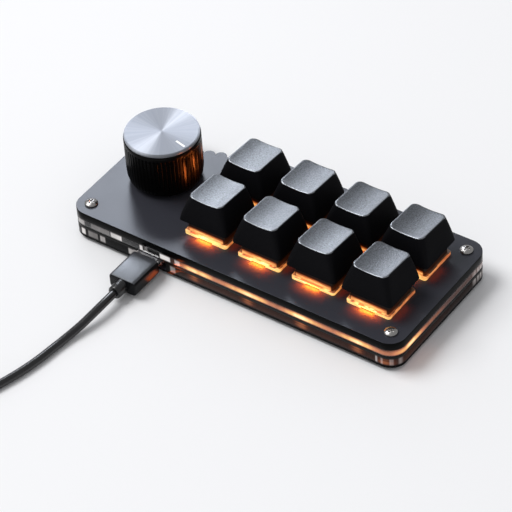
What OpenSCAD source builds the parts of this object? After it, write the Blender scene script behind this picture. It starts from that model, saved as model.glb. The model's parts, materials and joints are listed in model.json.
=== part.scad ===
// Macro keypad: eight keys and one rotary knob on a screwed sandwich case, with its lead.
// Millimetres. +X runs along the key rows, +Y to the back, +Z up.
// The origin is at the middle of the case's footprint, on the table.

/* [Keys] */
// Distance between neighbouring key centres
key_pitch = 19.05; // [18.6:0.05:20.5]
// Width of a keycap at its skirt
cap_base_w = 17.2; // [17:0.1:18.2]
// Depth of a keycap at its skirt
cap_base_d = 16.0; // [15.8:0.1:18]
// Width of a keycap's top
cap_top_w = 11.8; // [11.2:0.1:13]
// Depth of a keycap's top
cap_top_d = 14.1; // [13.4:0.1:15]
// Height of a keycap's top rim above the case
cap_top_h = 14.0; // [13.6:0.1:15]
// Height of a keycap's skirt above the case, with the key up
cap_skirt_h = 5.5; // [5.3:0.1:6.4]
// How far a keycap's top sits behind its centre
cap_top_shift = 1.0; // [0:0.1:1.1]
// Forward rise of a keycap's top, in degrees
cap_tilt = 4.4; // [0:0.2:5]
// Side wall of a keycap
cap_wall = 1.2; // [0.9:0.1:1.3]
// Roof of a keycap, measured at its rim
cap_roof = 2.0; // [1.6:0.1:2.2]
// Depth of the finger dish in a keycap
dish_depth = 0.6; // [0.3:0.1:0.9]
// Travel of a key
key_travel = 4.0; // [3:0.1:4]

/* [Switches] */
// Width of the cut-out that holds a switch
cutout_w = 13.6; // [13.4:0.05:13.8]
// Depth of that cut-out
cutout_d = 12.8; // [12.6:0.05:13]
// Case top to circuit board
plate_to_board = 5.0; // [4.8:0.1:5.4]
// Width of the flange that stands on the case
flange_w = 14.9; // [14.7:0.1:15.6]
// Depth of the flange
flange_d = 14.1; // [13.9:0.1:15]
// Thickness of the flange
flange_t = 1.0; // [0.8:0.1:1.2]
// Height of a switch cover above its flange
cover_h = 5.6; // [5.4:0.1:5.8]
// Width of a switch cover at its top
cover_top_w = 10.4; // [10:0.1:10.8]
// Depth of a switch cover at its top
cover_top_d = 10.6; // [10:0.1:10.8]
// Wall of a switch housing
housing_wall = 1.0; // [0.8:0.1:1.1]
// Width of the slider that comes out of a switch
stem_w = 7.2; // [6.8:0.1:7.3]
// Depth of the slider
stem_d = 5.8; // [5.7:0.1:6]
// Length of each bar of the cross that carries a keycap
cross_l = 4.1; // [4:0.05:4.2]
// Thickness of each bar of the cross
cross_t = 1.25; // [1.1:0.05:1.35]
// Diameter of the post that locates a switch in the board
post_d = 3.9; // [3.8:0.05:4]
// Diameter of a contact pin
pin_d = 1.5; // [1.3:0.1:1.6]
// Outer diameter of a return spring
spring_d = 5.0; // [4.8:0.1:5.2]
// Wire of a return spring
spring_wire = 0.35; // [0.3:0.05:0.4]

/* [Case] */
// Left edge to the knob's centre
left_margin = 16.6; // [16:0.1:22]
// Knob's centre to the first column of keys
knob_to_keys = 27.35; // [27:0.05:34]
// Last column of keys to the right edge
right_margin = 15.3; // [15:0.1:22]
// Front row of keys to the front edge
front_margin = 15.8; // [15.2:0.1:22]
// Back row of keys to the back edge
back_margin = 15.15; // [14.9:0.05:20]
// How far the knob's centre sits behind the middle of the rows
knob_back = 1.4; // [0.8:0.1:2]
// Corner radius of the case
corner_r = 5.2; // [3:0.1:6]
// Black top plate
top_t = 2.7; // [2:0.1:3]
// Circuit board
board_t = 1.0; // [0.8:0.1:1.6]
// Clear spacer under the board
lower_t = 2.7; // [2.7:0.1:5]
// Black base plate
base_t = 0.8; // [0.6:0.1:2]
// Rubber feet
foot_t = 1.2; // [1.1:0.1:4]
// Diameter of a rubber foot
foot_d = 8; // [6:0.5:9]
// Wall of the two clear spacers
spacer_wall = 4.6; // [3.6:0.1:4.8]
// Corner screws, from both edges
screw_inset = 4.8; // [4.6:0.1:5.2]
// Screw thread
screw_d = 2.0; // [1.6:0.1:2.2]
// Screw head
head_d = 4.0; // [3.6:0.1:4.2]
// Height of a top screw's head
head_h = 1.2; // [0.9:0.1:1.4]
// Height of a base screw's head
low_head_h = 0.6; // [0.4:0.05:0.7]
// Outer diameter of a standoff
standoff_d = 3.6; // [3:0.1:3.8]

/* [Back recess] */
// Left edge to the recess
recess_in = 11.2; // [11:0.1:13]
// Width of the recess
recess_w = 20; // [18:0.1:21]
// Back edge to the first lobe's centre
lobe_in = 9.6; // [8:0.1:9.8]
// Left edge to the first lobe's centre
lobe_from_left = 18.4; // [17:0.1:19]
// Radius of a lobe
lobe_r = 1.9; // [1.5:0.1:2.2]
// Lobe to lobe, along the case
lobe_pitch = 3.5; // [3.2:0.1:3.8]
// Rise from lobe to lobe
lobe_rise = 1.2; // [0:0.1:1.4]

/* [Knob] */
// Diameter of the knob
knob_d = 23.4; // [21.5:0.1:24.5]
// How much narrower the knob is at its foot
knob_taper = 2.2; // [0.5:0.1:2.6]
// Gap between the knob and the case
knob_gap = 1.2; // [1:0.1:2]
// Height of the knob's top above the case
knob_top_h = 17.7; // [17:0.1:20]
// Metal cap of the knob
knob_cap_t = 1.0; // [0.8:0.1:1.4]
// How much narrower the metal cap is than the knob
knob_cap_step = 0.4; // [0.2:0.1:1]
// Grip flutes round the knob
flutes = 60; // [36:1:64]
// Radius of a flute
flute_r = 0.35; // [0.2:0.05:0.4]
// Encoder shaft
shaft_d = 6.0; // [5.8:0.1:6.2]
// Encoder bushing
bushing_d = 7.0; // [7:0.1:7.6]
// Push travel of the knob
push_travel = 0.5; // [0.3:0.05:0.6]
// Length of the pointer line
marker_l = 3.8; // [2:0.1:6]
// Width of the pointer line
marker_w = 0.7; // [0.4:0.1:1.2]
// Gap from the pointer line to the rim of the metal cap
marker_in = 1.1; // [0.8:0.1:3]
// Direction of the pointer line, in degrees
marker_angle = -13; // [-180:1:180]

/* [Lead] */
// Diameter of the lead
cable_d = 2.6; // [2.2:0.1:2.8]
// Visible length of the plug's metal between case and grip
plug_gap = 1.5; // [0.5:0.1:2]
// Width of the plug's grip
grip_w = 9.6; // [9:0.1:12]
// Thickness of the plug's grip
grip_t = 5.2; // [4.4:0.1:5.6]
// Length of the plug's grip
grip_l = 12; // [10:0.5:20]
// Collar where the lead leaves the grip
collar_l = 4; // [3:0.5:6]
// Diameter of that collar
collar_d = 4.2; // [3.4:0.1:4.6]

/* [Hidden] */
COLS = 4;
ROWS = 2;
KEYS = COLS * ROWS;
$fn = 48;
EPS = 0.01;          // overshoot of a cut past a face
FIT = 0.05;          // radial play of a running fit
LOOSE = 0.3;         // gap between pieces that move past each other

// Case, from the table up
upper_t = plate_to_board - top_t;
base_z = foot_t;
lower_z = base_z + base_t;
board_z = lower_z + lower_t;
upper_z = board_z + board_t;
top_z = upper_z + upper_t;
plate_z = top_z + top_t;
case_w = left_margin + knob_to_keys + (COLS - 1) * key_pitch + right_margin;
case_d = front_margin + (ROWS - 1) * key_pitch + back_margin;
left_x = -case_w / 2;
front_y = -case_d / 2;
back_y = case_d / 2;
key_x = left_x + left_margin + knob_to_keys;
key_y = front_y + front_margin;
knob_x = left_x + left_margin;
knob_y = key_y + (ROWS - 1) * key_pitch / 2 + knob_back;
foot_inset = 1.2;
boss = screw_inset + standoff_d / 2 + 1.2; // corner block of a spacer, from both edges
screw_play = 0.1;
screw_reach = 1.8;                         // thread inside a standoff
screw_x = case_w / 2 - screw_inset;
screw_y = case_d / 2 - screw_inset;

foot_x = case_w / 2 - foot_inset - foot_d / 2;
foot_y = screw_y - head_d / 2 - foot_d / 2 - LOOSE;

// Back recess
recess_x = left_x + recess_in;
lobe_x = left_x + lobe_from_left;
lobe_y = back_y - lobe_in;
LOBES = 3;
recess_flare = 1.5;
recess_wall = 2.6;

// Switch, heights from the case top or from the board
switch_play = 0.05;
body_w = cutout_w - 2 * switch_play;
body_d = cutout_d - 2 * switch_play;
floor_t = 1.0;
post_under = 3.3;                          // post and pins below the board's top
post_end_t = 0.4;
pole_d = 2.2;                              // round foot of the slider, guided in a tube
guide_wall = 0.4;
guide_h = 3.0;
end_play = 0.4;                            // what is left below the slider when pressed
guide_bore = pole_d + 2 * FIT;
guide_d = guide_bore + 2 * guide_wall;
guide_top = upper_z + guide_h;
shoulder_w = stem_w + 1.0;
shoulder_d = stem_d - 0.2;
cover_z = plate_z + flange_t;
cover_top = cover_z + cover_h;
stop_gap = 0.1;
cross_under_top = 3.8;
flange_notch = [5, 0.8, 0.5];
shoulder_top = cover_top - housing_wall - stop_gap;
shoulder_z = guide_top + key_travel + end_play;
block_top = cover_top + 0.2;
cross_top = plate_z + cap_top_h - cross_under_top;
pole_z = upper_z - post_under + post_end_t + key_travel + end_play;
opening_play = 0.1;
pin_tip = 0.3;                             // how much shorter a pin is than the post
pin_rise = 2.2;                            // contact above the board
cover_straight = 1.8;                      // upright part of a cover's wall
LED_WINDOW = [4.0, 3.4];
socket_t = 1.8;                            // hot-swap socket under the board
board_play = 0.1;
PINS = [[-3.81, 2.54], [2.54, 5.08]];      // standard pin places, from the switch's centre
LED = [3.2, 2.8, 1.9];
led_y = -4.0;
SPRING_CURLS = 5;
SPRING_STEPS = 8;

// Keycap
cap_skirt_z = plate_z + cap_skirt_h;
cap_top_z = plate_z + cap_top_h;
cap_corner = 2.0;
cap_foot_corner = 1.2;
cap_bulge = 1.25;                          // over 1, the sides lean in more towards the top
socket_d = 5.5;
socket_z = block_top + 0.1;

// Encoder and knob
ENC = [12.0, 12.0, 3.5];                   // plastic case of the encoder
bracket_d = 13.2;
bracket_t = 0.8;
LUG = [0.5, 2.4];                          // legs of the bracket, down through the board
lug_under = 0.4;
cavity_d = 10.4;
rotor_d = 9.6;
rotor_t = 1.5;
enc_floor = 0.8;
drive_d = 4.0;                             // lower end of the shaft, with a flat
drive_flat = 1.4;
bushing_h = 6.5;
dome_d = 5.0;
dome_t = 0.25;
dome_pocket = 0.5;
rotor_z = upper_z + enc_floor + 0.1;
bracket_z = upper_z + ENC[2];
bushing_top = bracket_z + bracket_t + bushing_h;
shaft_z = upper_z + enc_floor - dome_pocket + dome_t + push_travel + FIT;
shaft_step = rotor_z + rotor_t + push_travel + 0.1;
knob_z = plate_z + knob_gap;
knob_top = plate_z + knob_top_h;
knob_cap_z = knob_top - knob_cap_t;
knob_r = knob_d / 2;
knob_foot_r = knob_r - knob_taper / 2;
knob_cap_r = knob_r - knob_cap_step / 2;
knob_shoulder = 4.5;                       // height over which the foot rounds in
knob_roof = 2.0;
knob_wall = 2.3;
hub_r = 5.5;
hub_z = bushing_top + push_travel + LOOSE;
shaft_top = knob_cap_z - knob_roof - 0.7;
flat_z = hub_z - 1;
shaft_flat = shaft_d / 2 - 1.5;
grub_r = 1.5;
grub_l = 5;
grub_z = (hub_z + knob_cap_z - knob_roof) / 2 - 0.5;
band_h = 1.4;                              // plain band over the flutes
marker_t = 0.3;

// USB socket and plug
SOCKET = [8.94, 7.35, 3.16];
shell_t = 0.3;
socket_back = 0.6;
usb_sink = 0.56;                           // how far the socket stands up into the board's notch
gate_play = 1.5;                           // gap in the spacer on both sides of the socket
plug_t = 0.28;
usb_x = left_x + 29.3;
usb_z = board_z + usb_sink - SOCKET[2] / 2;
PLUG = [8.25, 6.5, 2.4];
TONGUE = [6.6, 4.5, 0.7];
grip_r = 1.3;
grip_y = front_y - plug_gap;
collar_y = grip_y - grip_l;
cable_y = collar_y - collar_l;

// Route of the lead over the table, from the collar on: x and y from there, and the height
cable_r = cable_d / 2;
ROUTE_POINTS = [
    [0, 0, usb_z], [0, -5, usb_z], [-0.3, -10, 3.2], [-1, -15, 2.3], [-1.9, -20, 1.6],
    [-2.7, -25.5, cable_r], [-3.4, -31.5, cable_r], [-4.5, -37.5, cable_r], [-6.1, -43.5, cable_r],
    [-8.1, -49.5, cable_r], [-10.1, -55.5, cable_r], [-11.1, -60, cable_r], [-11.1, -62.9, cable_r]
];
ROUTE = [for (p = ROUTE_POINTS) [usb_x + p[0], cable_y + p[1], p[2]]];
coil_gap = 0.42;
coil_step = cable_d + coil_gap;
coil_turns = 9.5;
coil_in = 8.3;                             // radius of the innermost turn
coil_out = coil_in + coil_step * coil_turns / 2;
coil_rings = 24;                           // rings a turn
coil_end = ROUTE[len(ROUTE) - 1];
coil_x = coil_end[0] - coil_out;
coil_y = coil_end[1] - cable_d;
coil_top = cable_r + coil_step;            // middle of the upper layer
tie_w = 6;
tie_t = 0.8;
tie_bite = 0.1;                            // how far the tie squeezes the turns
tie_low = coil_in + coil_step / 2 - cable_r + tie_bite;
tie_high = coil_out - coil_step / 4 + cable_r - tie_bite;
tie_floor = cable_r * (1 - sin(60)) + tie_bite;
tie_roof = coil_top + cable_r * sin(60) - tie_bite;
far_x = coil_x - coil_out;
far_y = coil_y + cable_d;
far_relief_l = 15;
far_relief_d = 5.6;
FAR_GRIP = [15.6, 22, 2 * coil_top];
FAR_SHELL = [12, 12, 4.5];

// ---------- shapes ----------

module rounded_rect(w, d, r) {
    square([w - 2 * r, d], center = true);
    square([w, d - 2 * r], center = true);
    for (x = [-1, 1], y = [-1, 1])
        translate([x * (w / 2 - r), y * (d / 2 - r)]) circle(r);
}

module slab(w, d, r, z, t) {
    translate([0, 0, z]) linear_extrude(t) rounded_rect(w, d, r);
}

module block(size, at) {
    translate([at[0], at[1], at[2] + size[2] / 2]) cube(size, center = true);
}

// A rounded bar along +Y, from y, centred on x and z
module bar_y(w, h, r, x, y, z, l) {
    translate([x, y + l, z]) rotate([90, 0, 0]) linear_extrude(l) rounded_rect(w, h, r);
}

// Closed ring of a rounded rectangle with k points a corner; slope lifts its front
function corner_ring(w, d, r, z, dy, slope, k) = [
    for (c = [0 : 3]) for (i = [0 : k - 1])
        let (a = 90 * c + 90 * i / (k - 1),
             x = ((c == 0 || c == 3) ? 1 : -1) * (w / 2 - r) + r * cos(a),
             y = (c < 2 ? 1 : -1) * (d / 2 - r) + r * sin(a))
        [x, y + dy, z - y * tan(slope)]
];

// Closed solid through rings of equal length, listed from one end to the other
module loft(rings) {
    n = len(rings[0]);
    m = len(rings);
    polyhedron(
        points = [for (r = rings) each r],
        faces = concat(
            [[for (i = [0 : n - 1]) i]],
            [for (j = [0 : m - 2]) for (i = [0 : n - 1])
                [j * n + i, (j + 1) * n + i, (j + 1) * n + (i + 1) % n]],
            [for (j = [0 : m - 2]) for (i = [0 : n - 1])
                [j * n + i, (j + 1) * n + (i + 1) % n, j * n + (i + 1) % n]],
            [[for (i = [n - 1 : -1 : 0]) (m - 1) * n + i]]
        ));
}

function unit(v) = v / norm(v);
function direction(path, i) = unit(path[min(i + 1, len(path) - 1)] - path[max(i - 1, 0)]);

// Ring of a tube round one point of its path
function tube_ring(path, i, r, sides) =
    let (t = direction(path, i), s = unit(cross(t, [0, 0, 1])), u = cross(s, t))
    [for (k = [0 : sides - 1]) path[i] + r * (cos(360 * k / sides) * s + sin(360 * k / sides) * u)];

module tube(path, r, sides) {
    loft([for (i = [0 : len(path) - 1]) tube_ring(path, i, r, sides)]);
}

function path_length(path, i = 1) =
    i >= len(path) ? 0 : norm(path[i] - path[i - 1]) + path_length(path, i + 1);

module at_keys() {
    for (i = [0 : KEYS - 1]) translate(key_place(i)) children();
}

function key_place(i) = [key_x + (i % COLS) * key_pitch, key_y + floor(i / COLS) * key_pitch, 0];

module at_screws() {
    for (x = [-1, 1], y = [-1, 1]) translate([x * screw_x, y * screw_y, 0]) children();
}

// ---------- case ----------

module recess_outline() {
    deep = lobe_rise / lobe_pitch * (recess_x + recess_w - lobe_x);
    difference() {
        union() {
            polygon([
                [recess_x, lobe_y], [lobe_x, lobe_y],
                [recess_x + recess_w, lobe_y + deep],
                [recess_x + recess_w, back_y + 1], [recess_x, back_y + 1]
            ]);
            difference() {
                translate([recess_x - recess_flare, back_y - recess_flare])
                    square([recess_w + 2 * recess_flare, recess_flare + 1]);
                for (x = [recess_x - recess_flare, recess_x + recess_w + recess_flare])
                    translate([x, back_y - recess_flare]) circle(recess_flare);
            }
        }
        for (k = [0 : LOBES - 1])
            translate([lobe_x + k * lobe_pitch, lobe_y + k * lobe_rise]) circle(lobe_r);
    }
}

module case_outline() {
    difference() {
        rounded_rect(case_w, case_d, corner_r);
        recess_outline();
        at_screws() circle(screw_d / 2 + screw_play);
    }
}

module spacer_outline() {
    difference() {
        rounded_rect(case_w, case_d, corner_r);
        recess_outline();
        at_screws() circle(standoff_d / 2 + screw_play);
        difference() {
            rounded_rect(case_w - 2 * spacer_wall, case_d - 2 * spacer_wall, 2);
            for (x = [-1, 1], y = [-1, 1])
                translate([x * (case_w - boss) / 2, y * (case_d - boss) / 2])
                    square(boss, center = true);
            translate([recess_x - recess_wall, lobe_y - recess_wall])
                square([recess_w + 2 * recess_wall, lobe_in + 2 * recess_wall]);
        }
    }
}

module top_plate() {
    color([0.09, 0.09, 0.10]) difference() {
        translate([0, 0, top_z]) linear_extrude(top_t) case_outline();
        at_keys() block([cutout_w, cutout_d, top_t + 2], [0, 0, top_z - 1]);
        block([ENC[0] + 2 * (LUG[0] + 0.2), bracket_d + 1, top_t + 2], [knob_x, knob_y, top_z - 1]);
    }
}

module upper_spacer() {
    color([0.9, 0.93, 0.95, 0.5]) translate([0, 0, upper_z]) linear_extrude(upper_t) spacer_outline();
}

module lower_spacer() {
    color([0.9, 0.93, 0.95, 0.5]) difference() {
        translate([0, 0, lower_z]) linear_extrude(lower_t) spacer_outline();
        block([SOCKET[0] + 2 * gate_play, 3 * spacer_wall, lower_t + 2], [usb_x, front_y, lower_z - 1]);
    }
}

module circuit_board() {
    color([0.05, 0.06, 0.06]) difference() {
        translate([0, 0, board_z]) linear_extrude(board_t) difference() {
            rounded_rect(case_w, case_d, corner_r);
            recess_outline();
            at_screws() circle(standoff_d / 2 + screw_play);
            at_keys() circle(post_d / 2 + board_play);
            at_keys() for (p = PINS) translate(p) circle(pin_d / 2 + board_play);
            for (x = [-1, 1]) translate([knob_x + x * (ENC[0] + LUG[0]) / 2, knob_y])
                square([LUG[0] + 0.4, LUG[1] + 0.4], center = true);
        }
        block([SOCKET[0] + 2 * board_play, 2 * (SOCKET[1] + board_play), board_t + 2],
            [usb_x, front_y, board_z - 1]);
    }
}

module base_plate() {
    color([0.08, 0.08, 0.09]) translate([0, 0, base_z]) linear_extrude(base_t) case_outline();
}

module case_standoffs() {
    color([0.78, 0.76, 0.72]) at_screws() translate([0, 0, lower_z]) difference() {
        cylinder(d = standoff_d, h = top_z - lower_z);
        translate([0, 0, -1]) cylinder(d = screw_d + 2 * FIT, h = top_z - lower_z + 2);
    }
}

// Cross-slotted button head with its thread, standing up from z = 0
module screw(l, h, rise) {
    difference() {
        union() {
            translate([0, 0, -l]) cylinder(d = screw_d, h = l + EPS);
            cylinder(d = head_d, h = h - rise);
            intersection() {
                translate([0, 0, h - rise - EPS]) cylinder(d = head_d, h = rise + EPS);
                translate([0, 0, h - (head_d * head_d / 4 + rise * rise) / (2 * rise)])
                    sphere(r = (head_d * head_d / 4 + rise * rise) / (2 * rise));
            }
        }
        for (a = [0, 90]) rotate(a)
            translate([0, 0, h]) cube([head_d * 0.55, head_d * 0.13, h], center = true);
    }
}

module top_screws() {
    color([0.8, 0.8, 0.78]) at_screws() translate([0, 0, plate_z])
        screw(top_t + screw_reach, head_h, head_h * 0.6);
}

module base_screws() {
    color([0.8, 0.8, 0.78]) at_screws() translate([0, 0, base_z]) rotate([180, 0, 0])
        screw(base_t + screw_reach, low_head_h, low_head_h * 0.4);
}

module rubber_feet() {
    color([0.1, 0.1, 0.1]) for (x = [-1, 1], y = [-1, 1])
        translate([x * foot_x, y * foot_y, 0]) cylinder(d = foot_d, h = foot_t);
}

// ---------- switches ----------

module switch_base() {
    difference() {
        union() {
            block([body_w, body_d, plate_to_board], [0, 0, upper_z]);
            slab(flange_w, flange_d, 0.8, plate_z, flange_t);
            translate([0, 0, upper_z - post_under]) cylinder(d = post_d, h = post_under + EPS);
        }
        difference() {
            block([body_w - 2 * housing_wall, body_d - 2 * housing_wall, plate_to_board + 2],
                [0, 0, upper_z + floor_t]);
            translate([0, 0, upper_z]) cylinder(d = guide_d, h = guide_top - upper_z);
        }
        translate([0, 0, upper_z - post_under + post_end_t]) cylinder(d = guide_bore, h = 12);
        for (p = PINS) translate([p[0], p[1], upper_z - 1])
            cylinder(d = pin_d + 2 * FIT, h = 1 + pin_rise + LOOSE);
        block([LED_WINDOW[0], LED_WINDOW[1], LED[2] + 1.1], [0, led_y, upper_z - 1]);
        block([flange_notch[0], 2 * flange_notch[1], flange_notch[2]], [0, -flange_d / 2, plate_z]);
    }
}

module switch_bases() {
    color([0.95, 0.9, 0.85, 0.6]) at_keys() switch_base();
}

module cover_shell(inset, z_low, z_high) {
    function share(z) = max(0, (z - cover_z - cover_straight) / (cover_h - cover_straight));
    function wide(z) = cutout_w + share(z) * (cover_top_w - cutout_w) - 2 * inset;
    function deep(z) = cutout_d + share(z) * (cover_top_d - cutout_d) - 2 * inset;
    loft([for (z = [z_low, cover_z + cover_straight, z_high])
        corner_ring(wide(z), deep(z), 0.8, z, 0, 0, 3)]);
}

module switch_cover() {
    difference() {
        cover_shell(0, cover_z, cover_top);
        cover_shell(housing_wall, cover_z - 1, cover_top - housing_wall);
        block([stem_w + 2 * opening_play, stem_d + 2 * opening_play, 4], [0, 0, cover_top - 2]);
    }
}

module switch_covers() {
    color([0.97, 0.93, 0.88, 0.5]) at_keys() switch_cover();
}

module switch_contacts() {
    color([0.85, 0.7, 0.35]) at_keys() for (p = PINS)
        translate([p[0], p[1], upper_z - post_under + pin_tip])
            cylinder(d = pin_d, h = post_under - pin_tip + pin_rise);
}

module hotswap_sockets() {
    color([0.12, 0.12, 0.12]) at_keys() difference() {
        union() {
            block([4, 3.8, socket_t], [PINS[0][0] - 0.5, PINS[0][1] + 0.4, board_z - socket_t]);
            block([7, 1.6, socket_t], [-0.5, 4, board_z - socket_t]);
            block([5.4, 4, socket_t], [PINS[1][0], PINS[1][1] + 0.1, board_z - socket_t]);
        }
        for (p = PINS) translate([p[0], p[1], board_z - 3]) cylinder(d = pin_d + 2 * FIT, h = 4);
    }
}

module key_leds() {
    color([1, 0.6, 0.15]) at_keys() block(LED, [0, led_y, upper_z]);
}

module stem() {
    block([shoulder_w, shoulder_d, shoulder_top - shoulder_z], [0, 0, shoulder_z]);
    block([stem_w, stem_d, block_top - shoulder_top], [0, 0, shoulder_top]);
    block([cross_l, cross_t, cross_top - block_top], [0, 0, block_top]);
    block([cross_t, cross_l, cross_top - block_top], [0, 0, block_top]);
    translate([0, 0, pole_z]) cylinder(d = pole_d, h = shoulder_z - pole_z);
}

function spring_path() =
    let (z0 = upper_z + floor_t + spring_wire / 2, z1 = shoulder_z - spring_wire / 2,
         r = (spring_d - spring_wire) / 2, n = SPRING_CURLS * SPRING_STEPS)
    [for (i = [0 : n]) let (a = 360 * i / SPRING_STEPS)
        [r * cos(a), r * sin(a), z0 + (z1 - z0) * i / n]];

module spring() {
    tube(spring_path(), spring_wire / 2, 6);
}

// ---------- keycap ----------

// The rings tilt more and more towards the top
module cap_block(inset, z_low, z_high) {
    function share(z) = max(0, (z - cap_skirt_z) / (cap_top_z - cap_skirt_z));
    function lean(z) = pow(share(z), cap_bulge);
    function wide(z) = cap_base_w + lean(z) * (cap_top_w - cap_base_w) - 2 * inset;
    function deep(z) = cap_base_d + lean(z) * (cap_top_d - cap_base_d) - 2 * inset;
    function round_r(z) = max(0.5, cap_foot_corner + share(z) * (cap_corner - cap_foot_corner) - inset / 2);
    loft([for (k = [0 : 3]) let (z = z_low + (z_high - z_low) * k / 3)
        corner_ring(wide(z), deep(z), round_r(z), z, cap_top_shift * lean(z),
            k == 0 ? 0 : cap_tilt * min(1, share(z)), 5)]);
}

module keycap() {
    dish_r = (cap_top_w * cap_top_w / 4 + dish_depth * dish_depth) / (2 * dish_depth);
    difference() {
        union() {
            difference() {
                cap_block(0, cap_skirt_z, cap_top_z);
                cap_block(cap_wall, cap_skirt_z - 0.5, cap_top_z - cap_roof);
            }
            translate([0, 0, socket_z]) cylinder(d = socket_d, h = cap_top_z - cap_roof / 2 - socket_z);
        }
        translate([0, cap_top_shift, cap_top_z - dish_depth + dish_r]) rotate([90 - cap_tilt, 0, 0])
            cylinder(r = dish_r, h = 2 * cap_base_d, center = true, $fn = 96);
        for (a = [0, 90]) rotate(a)
            block([cross_l + 2 * FIT, cross_t + 2 * FIT, cross_top + FIT - socket_z + 1],
                [0, 0, socket_z - 1]);
    }
}

// ---------- board ----------

module microcontroller() {
    color([0.07, 0.07, 0.08]) difference() {
        block([7, 7, 0.9], [knob_x - 4, knob_y - 12.5, board_z - 0.9]);
        translate([knob_x - 6.6, knob_y - 15.1, board_z - 1]) cylinder(r = 0.4, h = 0.25);
    }
}

module board_parts() {
    color([0.2, 0.19, 0.18]) {
        block([6, 3, 2], [knob_x - 5, front_y + spacer_wall + 2.4, board_z - 2]);
        block([3.2, 2.5, 0.8], [knob_x + 4, knob_y - 12.5, board_z - 0.8]);
        for (k = [0 : 3]) block([1.2, 2, 0.6], [knob_x - 8 + 3 * k, knob_y - 7, board_z - 0.6]);
        at_keys() block([3.4, 1.6, 1.1], [0, -6.4, board_z - 1.1]);
    }
}

module usb_socket() {
    color([0.75, 0.75, 0.76]) {
        difference() {
            bar_y(SOCKET[0], SOCKET[2], SOCKET[2] / 2 - EPS, usb_x, front_y, usb_z, SOCKET[1]);
            bar_y(SOCKET[0] - 2 * shell_t, SOCKET[2] - 2 * shell_t, SOCKET[2] / 2 - shell_t - EPS,
                usb_x, front_y - 1, usb_z, SOCKET[1] - socket_back + 1);
        }
        bar_y(TONGUE[0], TONGUE[2], 0.2, usb_x, front_y + SOCKET[1] - socket_back - TONGUE[1], usb_z,
            TONGUE[1] + socket_back / 2);
        for (x = [-1, 1], y = [1.2, SOCKET[1] - 1.2])
            block([1.6, 1.2, 0.3], [usb_x + x * (SOCKET[0] / 2 + 0.4), front_y + y, board_z - 0.3]);
    }
}

// ---------- encoder and knob ----------

// Round shaft outline with a flat on its +Y side
module flatted(d, flat) {
    intersection() {
        circle(d / 2);
        translate([-d, -d]) square([2 * d, d + flat]);
    }
}

module encoder_case() {
    color([0.1, 0.12, 0.2]) translate([knob_x, knob_y, upper_z]) difference() {
        block(ENC, [0, 0, 0]);
        translate([0, 0, enc_floor]) cylinder(d = cavity_d, h = ENC[2]);
        translate([0, 0, enc_floor - dome_pocket]) cylinder(d = dome_d + 0.4, h = ENC[2]);
    }
}

module encoder_bushing() {
    color([0.7, 0.7, 0.68]) translate([knob_x, knob_y, 0]) difference() {
        union() {
            block([ENC[0], bracket_d, bracket_t], [0, 0, bracket_z]);
            translate([0, 0, bracket_z]) cylinder(d = bushing_d, h = bushing_top - bracket_z);
            for (x = [-1, 1])
                block([LUG[0], LUG[1], bracket_z + bracket_t - board_z + lug_under],
                    [x * (ENC[0] + LUG[0]) / 2, 0, board_z - lug_under]);
        }
        translate([0, 0, bracket_z - 1]) cylinder(d = shaft_d + 2 * FIT, h = bushing_top - bracket_z + 2);
    }
}

module encoder_rotor() {
    color([0.9, 0.9, 0.85]) translate([knob_x, knob_y, rotor_z]) linear_extrude(rotor_t) difference() {
        circle(rotor_d / 2);
        flatted(drive_d + 2 * FIT, drive_flat + FIT);
    }
}

module push_dome() {
    color([0.8, 0.8, 0.78]) translate([knob_x, knob_y, upper_z + enc_floor - dome_pocket])
        cylinder(d = dome_d, h = dome_t);
}

module encoder_shaft() {
    color([0.75, 0.75, 0.73]) translate([knob_x, knob_y, 0]) {
        translate([0, 0, shaft_z]) linear_extrude(shaft_step - shaft_z) flatted(drive_d, drive_flat);
        translate([0, 0, shaft_step]) cylinder(d = shaft_d, h = flat_z - shaft_step);
        translate([0, 0, flat_z]) linear_extrude(shaft_top - flat_z) flatted(shaft_d, shaft_flat);
    }
}

module knob_profile() {
    polygon(concat(
        [[0, knob_z]],
        [for (a = [0 : 15 : 90]) [knob_foot_r + (knob_r - knob_foot_r) * sin(a),
            knob_z + knob_shoulder * (1 - cos(a))]],
        [[knob_r, knob_cap_z - 0.3], [knob_r - 0.3, knob_cap_z], [0, knob_cap_z]]
    ));
}

module knob_body() {
    color([0.04, 0.04, 0.045]) translate([knob_x, knob_y, 0]) difference() {
        rotate_extrude() knob_profile();
        difference() {
            translate([0, 0, knob_z - 1])
                cylinder(r = knob_foot_r - knob_wall + 0.8, h = knob_cap_z - knob_roof - knob_z + 1);
            translate([0, 0, hub_z]) cylinder(r = hub_r, h = knob_top);
        }
        translate([0, 0, hub_z - 1]) linear_extrude(shaft_top + 0.2 - hub_z + 1)
            flatted(shaft_d + 2 * FIT, shaft_flat + FIT);
        translate([0, 0, grub_z]) rotate([-90, 0, 0]) cylinder(r = grub_r + FIT, h = knob_d);
        for (k = [0 : flutes - 1]) rotate(360 * (k + 0.5) / flutes)
            translate([knob_r + flute_r / 4, 0, knob_z - 1])
                cylinder(r = flute_r, h = knob_cap_z - band_h - knob_z + 1);
    }
}

module marker_bar(t) {
    rotate(marker_angle) translate([knob_cap_r - marker_in - marker_l, -marker_w / 2, knob_top - marker_t])
        cube([marker_l, marker_w, t]);
}

module knob_cap() {
    color([0.82, 0.83, 0.85]) translate([knob_x, knob_y, 0]) difference() {
        rotate_extrude() polygon([
            [0, knob_cap_z], [knob_cap_r, knob_cap_z], [knob_cap_r, knob_top - 0.4],
            [knob_cap_r - 0.4, knob_top], [0, knob_top]
        ]);
        marker_bar(1);
    }
}

module knob_marker() {
    color([0.98, 0.98, 0.98]) translate([knob_x, knob_y, 0]) marker_bar(marker_t);
}

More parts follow.
